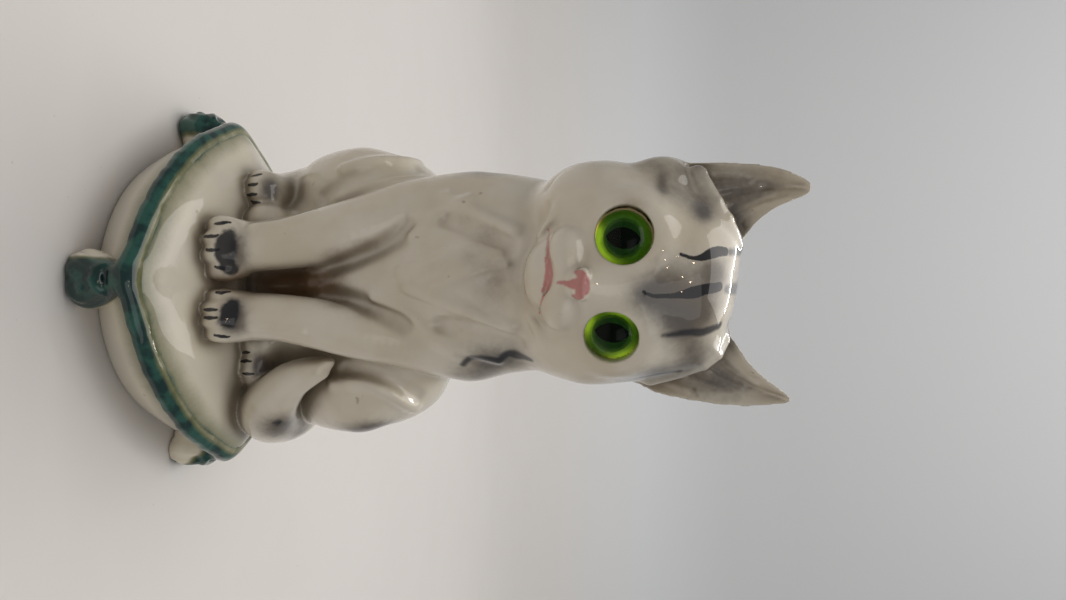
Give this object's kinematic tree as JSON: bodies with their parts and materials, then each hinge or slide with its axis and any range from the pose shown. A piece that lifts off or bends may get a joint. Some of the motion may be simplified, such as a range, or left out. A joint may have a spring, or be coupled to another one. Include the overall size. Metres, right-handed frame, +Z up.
{
  "type": "ceramic cat figurine",
  "caption": "Glazed porcelain kitten seated on a tasselled cushion, with domed green glass eyes, its head turned and its tail curled round one side.",
  "frame": {"origin": "on the table, under the middle of the figure's bounding box", "axes": "+Z up; the cat's body faces -Y; +X is the cat's own left; the cushion's corners lie on X and Y"},
  "size_m": [0.1304, 0.1304, 0.2135],
  "materials": {
    "white_porcelain": "glossy clear glaze over warm white porcelain with airbrushed grey and black markings",
    "grey_marked_porcelain": "glossy clear glaze over airbrushed grey on porcelain",
    "green_glaze": "glossy dark teal-green underglaze colour, thinner on high edges",
    "eye_glass": "clear green glass, polished dome",
    "pupil_enamel": "black enamel on the back of the glass",
    "cement": "matt brown setting cement"
  },
  "bodies": {
    "root": {"cushion": "white_porcelain", "piping": "green_glaze", "tassel_front": "green_glaze", "tassel_back": "green_glaze", "tassel_left": "green_glaze", "tassel_right": "green_glaze", "torso": "white_porcelain", "head": "white_porcelain", "ear_left": "grey_marked_porcelain", "ear_right": "grey_marked_porcelain", "foreleg_left": "white_porcelain", "foreleg_right": "white_porcelain", "haunch_left": "white_porcelain", "haunch_right": "white_porcelain", "hind_paw_left": "white_porcelain", "hind_paw_right": "white_porcelain", "tail": "grey_marked_porcelain", "eye_glass_left": "eye_glass", "eye_glass_right": "eye_glass", "eye_pupil_left": "pupil_enamel", "eye_pupil_right": "pupil_enamel", "eye_cement_left": "cement", "eye_cement_right": "cement"}
  },
  "joints": []
}
